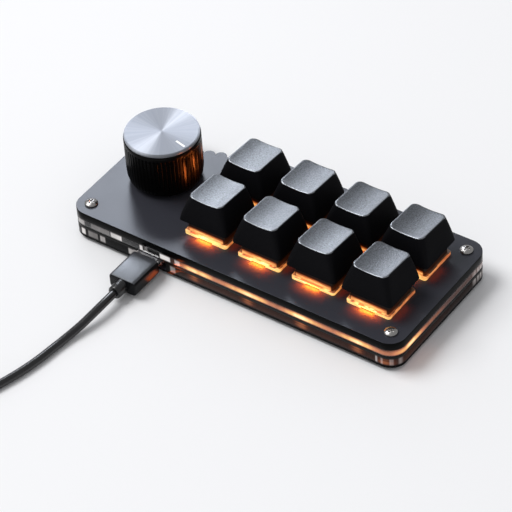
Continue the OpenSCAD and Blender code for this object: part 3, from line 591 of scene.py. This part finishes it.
CASE_PIECES = [
    # node, rounding of its edges, record slot, finish
    ("top_plate", 0.15, "black_acrylic", "black_acrylic"),
    ("base_plate", 0.10, "black_acrylic", "black_acrylic"),
    ("upper_spacer", 0.08, "clear_acrylic", "lit_acrylic"),
    ("lower_spacer", 0.08, "clear_acrylic", "clear_acrylic"),
    ("circuit_board", 0.05, "circuit_board", "circuit_board"),
    ("case_standoffs", 0.10, "brass", "bright_metal"),
    ("top_screws", 0.10, "steel", "steel"),
    ("base_screws", 0.06, "steel", "steel"),
    ("rubber_feet", 0.25, "rubber", "rubber"),
    ("switch_bases", 0.15, "switch_housing", "switch_housing"),
    ("switch_covers", 0.15, "switch_housing", "switch_housing"),
    ("usb_socket", 0.03, "bright_metal", "socket_metal"),
    ("usb_plug_shell", 0.03, "bright_metal", "bright_metal"),
    ("far_plug_shell", 0.10, "bright_metal", "bright_metal"),
    ("knob_cap", 0.14, "spun_aluminium", "spun_aluminium"),
]
for node, width, slot_name, look in CASE_PIECES:
    # A black plate's tops are painted lighter as if lit, and its cut edges darker as painted shade
    dark = look == "black_acrylic"
    finish(softened(node, width), "black_edge" if dark else look, look if dark else None)

# Nodes that keep the model's own shape
PLAIN = {
    "switch_contacts": "brass", "hotswap_sockets": "black_plastic", "key_leds": "led",
    "microcontroller": "black_plastic", "board_parts": "black_plastic", "encoder_case": "black_plastic",
    "encoder_bushing": "bright_metal", "encoder_rotor": "white_plastic", "push_dome": "steel",
    "encoder_shaft": "bright_metal", "knob_marker": "white_plastic", "knob_grub_screw": "steel",
    **{f"stem_{i}": "stem_plastic" for i in KEYS},
}
for node, look in PLAIN.items():
    finish(frame["nodes"][node], look)

# ---------- keycaps ----------

CAP_BASE_W, CAP_BASE_D = 17.2, 16.0
CAP_TOP_W, CAP_TOP_D = 11.8, 14.1
CAP_SHIFT = 1.0           # the top sits this much behind the middle
CAP_SLOPE = math.tan(math.radians(4.4))
CAP_CORNER_FOOT, CAP_CORNER_TOP = 1.2, 2.0
CAP_DISH = 0.6
CAP_EDGE = 0.45           # rounding between top and sides
CAP_WALL, CAP_ROOF = 1.2, 2.0
CAP_BULGE = 1.25          # over 1, the sides lean in more towards the top
CAP_FOOT, CAP_TOP = PLATE + 5.5, PLATE + 14.0
CEILING_DROP = 0.4        # the ceiling inside lies this much under the inner walls' upper end
POST_R, POST_FOOT = 2.75, PLATE + 6.9
CORNER_STEPS, SIDE_STEPS = 7, 8
SHELL_STEPS, EDGE_STEPS = 12, 4
TOP_FANS = 0.94, 0.8, 0.62, 0.44, 0.26, 0.1      # rings of the dish, as shares of its rim


def cap_rim(x, y):
    """Height of the dished top at a place measured from the top's own middle."""
    return CAP_TOP - y * CAP_SLOPE - CAP_DISH * (1 - min(1, (x / (CAP_TOP_W / 2)) ** 2))


def cap_ring(share, inset=0.0, drop=0.0, roof=0.0):
    """Ring at a share of the height, drawn in by inset and lowered by drop and roof."""
    lean = share ** CAP_BULGE
    w = CAP_BASE_W + (CAP_TOP_W - CAP_BASE_W) * lean - 2 * inset
    d = CAP_BASE_D + (CAP_TOP_D - CAP_BASE_D) * lean - 2 * inset
    r = max(0.3, CAP_CORNER_FOOT + (CAP_CORNER_TOP - CAP_CORNER_FOOT) * share - inset * 0.5)
    ring = []
    for x, y in rounded_ring(w, d, r, CORNER_STEPS, SIDE_STEPS):
        top = cap_rim(x, y) - drop - roof
        ring.append((x, y + CAP_SHIFT * lean, CAP_FOOT + (top - CAP_FOOT) * share))
    return ring


def shrunk(ring, factor, height):
    """The ring drawn towards its middle, at the height that a function gives."""
    cx = sum(p[0] for p in ring) / len(ring)
    cy = sum(p[1] for p in ring) / len(ring)
    points = [(cx + (p[0] - cx) * factor, cy + (p[1] - cy) * factor) for p in ring]
    return [(x, y, height(x, y)) for x, y in points]


def keycap_mesh():
    foot = [cap_ring(0, CAP_WALL), cap_ring(0, CAP_WALL - 0.15), cap_ring(0, 0.15), cap_ring(0.012, 0.0, CAP_EDGE)]
    sides = [cap_ring(i / SHELL_STEPS, 0.0, CAP_EDGE) for i in range(1, SHELL_STEPS + 1)]
    for i in range(1, EDGE_STEPS + 1):
        a = math.radians(90 * i / EDGE_STEPS)
        sides.append(cap_ring(1, CAP_EDGE * (1 - math.cos(a)), CAP_EDGE * (1 - math.sin(a))))
    top = [shrunk(sides[-1], f, lambda x, y: cap_rim(x, y - CAP_SHIFT)) for f in TOP_FANS]
    inside = [cap_ring(share, CAP_WALL, 0, CAP_ROOF) for share in (0.95, 0.75, 0.5, 0.25, 0.05)]
    ceiling = [shrunk(inside[0], f, lambda x, y: cap_rim(x, y - CAP_SHIFT) - CAP_ROOF - CEILING_DROP)
               for f in (0.1, 0.5, 0.92)]
    post = lathe([(POST_R - 0.35, CAP_TOP - CAP_ROOF - 0.2), (POST_R, CAP_TOP - CAP_ROOF - 0.5),
                  (POST_R, POST_FOOT + 0.2), (POST_R - 0.2, POST_FOOT)], 32)
    return join(loft(ceiling + inside + foot + sides + top), post)


verts, faces = keycap_mesh()
for i, place in zip(KEYS, KEY_PLACES):
    moved = [(x + place.x, y + place.y, z) for x, y, z in verts]
    cap = piece(f"keycap_{i}_piece", moved, faces, f"key_{i}", "keycap_black", (f"keycap_{i}",),
                smooth_angle=50)
    # The top is painted lighter than the sides as if lit, and its rounding lighter still, a painted highlight
    finish(cap, "keycap_black", "keycap_top", least=0.62, rim="keycap_rim")

# ---------- knob ----------

KNOB_FOOT, KNOB_TOP = knob_low.z / MM, knob_high.z / MM
KNOB_R = (knob_high.x - knob_low.x) / 2 / MM
KNOB_FOOT_R = KNOB_R - 1.1
KNOB_SHOULDER = 4.5       # height over which the foot rounds in
FLUTES, FLUTE_DEPTH = 60, 0.28
BAND = 1.4                # plain band above the flutes
BAND_FADE, FOOT_FADE = 0.35, 1.5      # heights over which the flutes run out
KNOB_WALL, KNOB_ROOF = 1.5, 2.0
HUB_R, HUB_BORE, HUB_FOOT = 5.5, 3.05, PLATE + 6.6
SMALL_STEP = 0.1          # chamfer of the hub's edges and of the knob's upper edge


def fluted(r, z, angle):
    """Shallow hollows round the knob, fading out at the band and at the foot."""
    if r < KNOB_FOOT_R - 0.3 or z > KNOB_TOP - BAND + 0.01:
        return r
    below_band, above_foot = KNOB_TOP - BAND - z, z - KNOB_FOOT - 0.4
    fade = min(1, max(0, below_band / BAND_FADE)) * min(1, max(0, above_foot / FOOT_FADE))
    hollow = max(0.0, math.cos(FLUTES * angle)) ** 0.8
    return r - FLUTE_DEPTH * fade * hollow


def knob_mesh():
    at = (KNOB_X, KNOB_Y)
    inner = KNOB_FOOT_R - KNOB_WALL
    foot = [(inner, KNOB_FOOT + 0.15), (inner + 0.2, KNOB_FOOT), (KNOB_FOOT_R - 0.25, KNOB_FOOT)]
    for a in range(4, 91, 8):
        s, c = math.sin(math.radians(a)), math.cos(math.radians(a))
        foot.append((KNOB_FOOT_R + (KNOB_R - KNOB_FOOT_R) * s, KNOB_FOOT + KNOB_SHOULDER * (1 - c)))
    side = [(KNOB_R, KNOB_FOOT + h) for h in (6, 8, 10, 12, 13)]
    band = [(KNOB_R, KNOB_TOP - h) for h in (BAND + BAND_FADE, BAND + 0.2, BAND, 0.9, 0.3)]
    band += [(KNOB_R - SMALL_STEP, KNOB_TOP - SMALL_STEP), (KNOB_R - 0.3, KNOB_TOP), (KNOB_R - 2, KNOB_TOP)]
    roof = KNOB_TOP - KNOB_ROOF
    hub = [(HUB_R, roof), (HUB_R, HUB_FOOT + SMALL_STEP), (HUB_R - SMALL_STEP, HUB_FOOT),
           (HUB_BORE + SMALL_STEP, HUB_FOOT), (HUB_BORE, HUB_FOOT + SMALL_STEP), (HUB_BORE, roof - 0.5)]
    outside = lathe(foot + side + band, FLUTES * 8, at, capped=False, radius=fluted)
    hollow = lathe([foot[0], (inner, roof)] + hub, 64, at)
    top = lathe([(KNOB_R - 2, KNOB_TOP), (1, KNOB_TOP)], 64, at, capped=False)
    return join(outside, hollow, top)


knob = piece("knob_body_piece", *knob_mesh(), "knob", "knob_black", ("knob_body",), smooth_angle=50)
finish(knob, "knob_black")
knob.data.materials.append(FINISH["knob_rim"])
for face in knob.data.polygons:
    face.material_index = int(face.center.z / MM > KNOB_TOP - BAND)

# ---------- springs ----------

SPRING_R, SPRING_WIRE = 2.325, 0.35
SPRING_TURNS, TURN_STEPS = 5, 24
spring_low, spring_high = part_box("spring_1")


def tube(path, radius, sides):
    """A round tube along points, as (points, faces), with a frame that doesn't twist."""
    points = [Vector(p) for p in path]
    rings, across = [], None
    for i, p in enumerate(points):
        ahead = (points[min(i + 1, len(points) - 1)] - points[max(i - 1, 0)]).normalized()
        if across is None:
            across = ahead.cross(Vector((0, 0, 1))).normalized()
        across = (across - ahead * across.dot(ahead)).normalized()
        other = ahead.cross(across)
        rings.append([tuple(p + radius * (math.cos(a) * across + math.sin(a) * other))
                      for a in (2 * math.pi * k / sides for k in range(sides))])
    return loft(rings)


def spring_mesh(place):
    low, high = spring_low.z / MM + SPRING_WIRE / 2, spring_high.z / MM - SPRING_WIRE / 2
    steps = SPRING_TURNS * TURN_STEPS
    path = []
    for i in range(steps + 1):
        a = 2 * math.pi * i / TURN_STEPS
        path.append((place.x + SPRING_R * math.cos(a), place.y + SPRING_R * math.sin(a),
                     low + (high - low) * i / steps))
    return tube(path, SPRING_WIRE / 2, 8)


for i, place in zip(KEYS, KEY_PLACES):
    spring = piece(f"spring_{i}_piece", *spring_mesh(place), "case", "spring_steel", (f"spring_{i}",),
                   smooth_angle=60)
    finish(spring, "spring_steel")
    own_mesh(spring)

# ---------- lead ----------

CABLE_D, CABLE_R = 2.6, 1.3
LEAST_Z = CABLE_R + 0.03      # keeps the curve's facets off the table
grip_low, grip_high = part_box("usb_plug_grip")
collar_low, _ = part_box("cable_collar")
USB_X, USB_Z = (grip_low.x + grip_high.x) / 2 / MM, (grip_low.z + grip_high.z) / 2 / MM
EXIT_Y = collar_low.y / MM
# From the collar on: x and y from its end, and the height over the table
ROUTE_POINTS = [
    (0, 0, USB_Z), (0, -5, USB_Z), (-0.3, -10, 3.2), (-1, -15, 2.3), (-1.9, -20, 1.6),
    (-2.7, -25.5, CABLE_R), (-3.4, -31.5, CABLE_R), (-4.5, -37.5, CABLE_R), (-6.1, -43.5, CABLE_R),
    (-8.1, -49.5, CABLE_R), (-10.1, -55.5, CABLE_R), (-11.1, -60, CABLE_R), (-11.1, -62.9, CABLE_R),
]
COIL_STEP = CABLE_D + 0.42      # from one turn to the next, and from the lower layer to the upper
COIL_TURNS, COIL_IN, COIL_RINGS = 9.5, 8.3, 48
COIL_OUT = COIL_IN + COIL_STEP * COIL_TURNS / 2


def curved(points, steps):
    """A Catmull-Rom curve through points."""
    out = []
    points = [Vector(p) for p in points]
    padded = [2 * points[0] - points[1]] + points + [2 * points[-1] - points[-2]]
    for i in range(1, len(padded) - 2):
        a, b, c, d = padded[i - 1:i + 3]
        for k in range(steps):
            t = k / steps
            out.append(0.5 * (2 * b + (c - a) * t + (2 * a - 5 * b + 4 * c - d) * t * t
                              + (3 * b - a - 3 * c + d) * t ** 3))
    return out + [points[-1]]


def coil_points(start):
    """Turns that wind inwards on the table, climb, and wind outwards in a second layer."""
    cx, cy = start[0] - COIL_OUT, start[1] - CABLE_D
    points = []
    for i in range(int(COIL_TURNS * COIL_RINGS) + 1):
        t = i / COIL_RINGS
        a = -2 * math.pi * t
        r = COIL_IN + COIL_STEP * abs(t - COIL_TURNS / 2)
        s = min(1, max(0, 2 * (t - COIL_TURNS / 2) + 0.5))
        z = CABLE_R + COIL_STEP * s * s * (3 - 2 * s)
        points.append(Vector((cx + r * math.cos(a), cy + r * math.sin(a), z)))
    return points + [Vector((cx - COIL_OUT, cy + CABLE_D, CABLE_R + COIL_STEP))]


route = [(USB_X + x, EXIT_Y + y, z) for x, y, z in ROUTE_POINTS]
lead_points = curved(route, 6) + coil_points(route[-1])


def lead_curve():
    data = bpy.data.curves.new("usb_lead", "CURVE")
    data.dimensions = "3D"
    data.bevel_depth = 1
    data.bevel_resolution = 4
    data.use_fill_caps = True
    spline = data.splines.new("POLY")
    spline.points.add(len(lead_points) - 1)
    for point, place in zip(spline.points, lead_points):
        point.co = (place.x * MM, place.y * MM, max(place.z, LEAST_Z) * MM, 1)
        point.radius = CABLE_R * MM
    spline.use_smooth = True
    obj = bpy.data.objects.new("usb_lead", data)
    bpy.context.scene.collection.objects.link(obj)
    return dress(obj, "case", ("usb_cable", "cable_coil"))


lead = finish(lead_curve(), "cable_black")


def rounded_bar(size, edge, end, at, steps=5):
    """A bar along Y with long edges rounded by edge and ends rounded by end, from at's y on."""
    w, l, t = size
    profile = [(end * (1 - math.sin(a)), end * (1 - math.cos(a))) for a in
               (math.radians(90 * k / steps) for k in range(steps + 1))]
    stations = profile + [(inset, l - y) for inset, y in reversed(profile)]
    rings = []
    for inset, y in stations:
        ring = rounded_ring(w - 2 * inset, t - 2 * inset, max(0.2, edge - inset), 6, 3)
        rings.append([(at[0] + x, at[1] + y, at[2] + z) for x, z in ring])
    return loft(rings)


def turned_y(profile, at, count=48):
    """A profile of (distance along Y, radius) turned about the Y axis through at."""
    turns = [2 * math.pi * k / count for k in range(count)]
    return loft([[(at[0] + r * math.cos(a), at[1] + y, at[2] + r * math.sin(a)) for a in turns] for y, r in profile])


grip_size = (grip_high - grip_low) / MM
grip = piece("usb_grip_piece", *rounded_bar(grip_size, edge=1.3, end=0.5, at=(USB_X, grip_low.y / MM, USB_Z)),
             "case", "cable_black", ("usb_plug_grip",), smooth_angle=60)
# The grip's top is painted lighter as if lit
finish(grip, "grip_black", "grip_top")
COLLAR = [(0, 1.5), (0.0, 1.95), (0.25, 2.1), (2.2, 2.15), (4.0, 2.3)]
collar = piece("cable_collar_piece", *turned_y(COLLAR, (USB_X, EXIT_Y, USB_Z)),
               "case", "cable_black", ("cable_collar",), smooth_angle=60)
finish(collar, "cable_black")

relief_low, relief_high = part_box("far_strain_relief")
FAR_X = (relief_low.x + relief_high.x) / 2 / MM
FAR_Z = (relief_low.z + relief_high.z) / 2 / MM
RELIEF_THIN, RELIEF_THICK = 1.7, 2.8
GROOVE_PITCH, GROOVE_START, GROOVE_DEPTH = 2.2, 1.5, 0.35
PLAIN_END = 3             # length without grooves, next to the plug
RELIEF_STEPS = 60


def relief_profile():
    """A tapered sleeve with rings moulded into it."""
    length = (relief_high.y - relief_low.y) / MM
    points = [(0, 1.35), (0, 1.55)]
    for k in range(1, RELIEF_STEPS):
        y = 0.2 + (length - 0.4) * k / RELIEF_STEPS
        r = RELIEF_THIN + (RELIEF_THICK - RELIEF_THIN) * y / length
        in_groove = y % GROOVE_PITCH > GROOVE_START and y < length - PLAIN_END
        points.append((y, r - GROOVE_DEPTH if in_groove else r))
    return points + [(length, RELIEF_THICK - 0.05)]


relief = piece("far_strain_relief_piece", *turned_y(relief_profile(), (FAR_X, relief_low.y / MM, FAR_Z), 32),
               "case", "cable_black", ("far_strain_relief",))
finish(relief, "cable_black")
far_low, far_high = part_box("far_plug_grip")
far_size = (far_high - far_low) / MM
far_grip = piece("far_plug_grip_piece", *rounded_bar(far_size, edge=2.0, end=0.8, at=(FAR_X, far_low.y / MM, FAR_Z)),
                 "case", "cable_black", ("far_plug_grip",), smooth_angle=60)
finish(far_grip, "cable_black")

tie_low, tie_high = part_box("cable_tie")
STRAP, STRAP_EDGE = 0.75, 0.15


def tie_mesh():
    """A flat strap round the bundle of turns, with rounded corners."""
    centre = (tie_low + tie_high) / 2 / MM
    size = (tie_high - tie_low) / MM
    half, edge = size.x / 2, size.x / 2 - STRAP_EDGE
    section = [(edge, 0.0), (half, STRAP_EDGE), (half, STRAP - STRAP_EDGE), (edge, STRAP)]
    section += [(-x, inset) for x, inset in reversed(section)]
    rings = []
    for x, inset in section:
        ring = rounded_ring(size.y - 2 * inset, size.z - 2 * inset, 1.4 - inset * 0.8, 6, 6)
        rings.append([(centre.x + x, centre.y + y, centre.z + z) for y, z in ring])
    n, verts = len(rings[0]), [p for ring in rings for p in ring]
    faces = []
    for j in range(len(rings)):
        here, there = j * n, (j + 1) % len(rings) * n
        faces += [(here + i, here + (i + 1) % n, there + (i + 1) % n, there + i) for i in range(n)]
    return verts, faces


tie = piece("cable_tie_piece", *tie_mesh(), "case", "cable_black", ("cable_tie",), smooth_angle=50)
finish(tie, "cable_black")

# ---------- floor, light ----------

FLOOR_SIDE = 6
FLOOR_COLOUR = (0.888, 0.895, 0.905, 1)


def add_floor():
    bpy.ops.mesh.primitive_plane_add(size=FLOOR_SIDE, location=(0, 0, 0))
    floor = bpy.context.object
    floor.name = "floor"
    look = Shader("floor").set(Roughness=0.6, Specular_IOR_Level=0.2, Base_Color=FLOOR_COLOUR)
    floor.data.materials.append(look.material)


def add_world(strength, colour):
    world = bpy.data.worlds.new("world")
    world.use_nodes = True
    background = world.node_tree.nodes["Background"]
    background.inputs["Color"].default_value = (*colour, 1)
    background.inputs["Strength"].default_value = strength
    bpy.context.scene.world = world


def add_area(name, place, size, power, colour):
    """A rectangular lamp that the camera doesn't see; place and size in metres."""
    data = bpy.data.lights.new(name, "AREA")
    data.shape = "RECTANGLE"
    data.size, data.size_y = size
    data.energy, data.color = power, colour
    lamp = bpy.data.objects.new(name, data)
    bpy.context.scene.collection.objects.link(lamp)
    lamp.location = place
    lamp.visible_camera = False
    return lamp


def add_studio_lamp(name, azimuth, elevation, distance, size, power, colour):
    """A lamp that faces the object; its azimuth runs from the back to the left. Degrees and metres."""
    a, e = math.radians(azimuth), math.radians(elevation)
    place = (-distance * math.sin(a) * math.cos(e), distance * math.cos(a) * math.cos(e), distance * math.sin(e))
    lamp = add_area(name, place, size, power, colour)
    lamp.rotation_mode = "QUATERNION"
    lamp.rotation_quaternion = Vector(place).to_track_quat("Z", "Y")
    return lamp


def add_glow(name, place, size, turn, power, colour, spread=180):
    """A small hidden lamp for the light of a glowing piece on its neighbours; millimetres and degrees."""
    lamp = add_area(name, Vector(place) * MM, [side * MM for side in size], power, colour)
    lamp.data.spread = math.radians(spread)
    lamp.rotation_euler = [math.radians(a) for a in turn]
    lamp.visible_glossy = lamp.visible_transmission = False
    return lamp


def add_reflected_glow(name, **settings):
    """As a glow, but seen in reflections only."""
    lamp = add_glow(name, **settings)
    lamp.visible_glossy, lamp.visible_diffuse = True, False


def add_key_lamps():
    """The light that leaks out under each switch onto the plate."""
    for i, key in zip(KEYS, KEY_PLACES):
        add_glow(f"front_glow_{i}", place=(key.x, key.y - 7.4, PLATE + 0.9), size=(4.6, 0.8), turn=(-9, 0, 0),
                 power=0.0018, colour=(1, 0.23, 0.012), spread=140)
        add_glow(f"broad_glow_{i}", place=(key.x, key.y - 7.8, PLATE + 2.4), size=(9, 1.5), turn=(-8, 0, 0),
                 power=0.0013, colour=(1, 0.09, 0.012), spread=120)
        add_glow(f"side_glow_{i}", place=(key.x + 8.2, key.y - 3, PLATE + 1.6), size=(1.2, 7), turn=(0, -25, 0),
                 power=0.00012, colour=(1, 0.08, 0.008), spread=120)


def add_grip_glow():
    """The lit edge's light along the right side of the plug's grip."""
    add_reflected_glow("grip_glow", place=(grip_high.x / MM + 2.0, grip_high.y / MM - 1.2, 0.3), size=(1.8, 5),
                       turn=(180, 0, 0), power=0.00019, colour=(1, 0.15, 0.015))


def add_knob_glow():
    """The keys' light along the flutes on the knob's right side."""
    for k, place in enumerate(((-22.2, 8, PLATE + 3), (-22.2, -1.5, PLATE + 2.5))):
        add_reflected_glow(f"knob_glow_{k}", place=place, size=(5, 1.2), turn=(0, 90, 0), power=0.0036,
                           colour=(1, 0.20, 0.035))


def add_corner_glow():
    """The lit edge's light on the table, beside the right end of the case."""
    add_glow("corner_glow", place=(SIDE + 1.5, FRONT + 8, 5), size=(3, 14), turn=(0, 0, 0), power=0.00003,
             colour=(1, 0.25, 0.1))


add_floor()
add_grip_glow()
add_world(strength=0.48, colour=(0.985, 0.985, 1.0))
softbox = add_studio_lamp("softbox", azimuth=46, elevation=36, distance=0.5, size=(0.175, 0.19), power=1.36,
                          colour=(0.87, 0.91, 1.0))
softbox.visible_diffuse = False
add_studio_lamp("key", azimuth=106, elevation=56, distance=2.9, size=(1.55, 1.55), power=60.5,
                colour=(1.0, 0.995, 1.0))
add_key_lamps()
add_knob_glow()
add_corner_glow()
bpy.context.scene.view_settings.view_transform = "Standard"
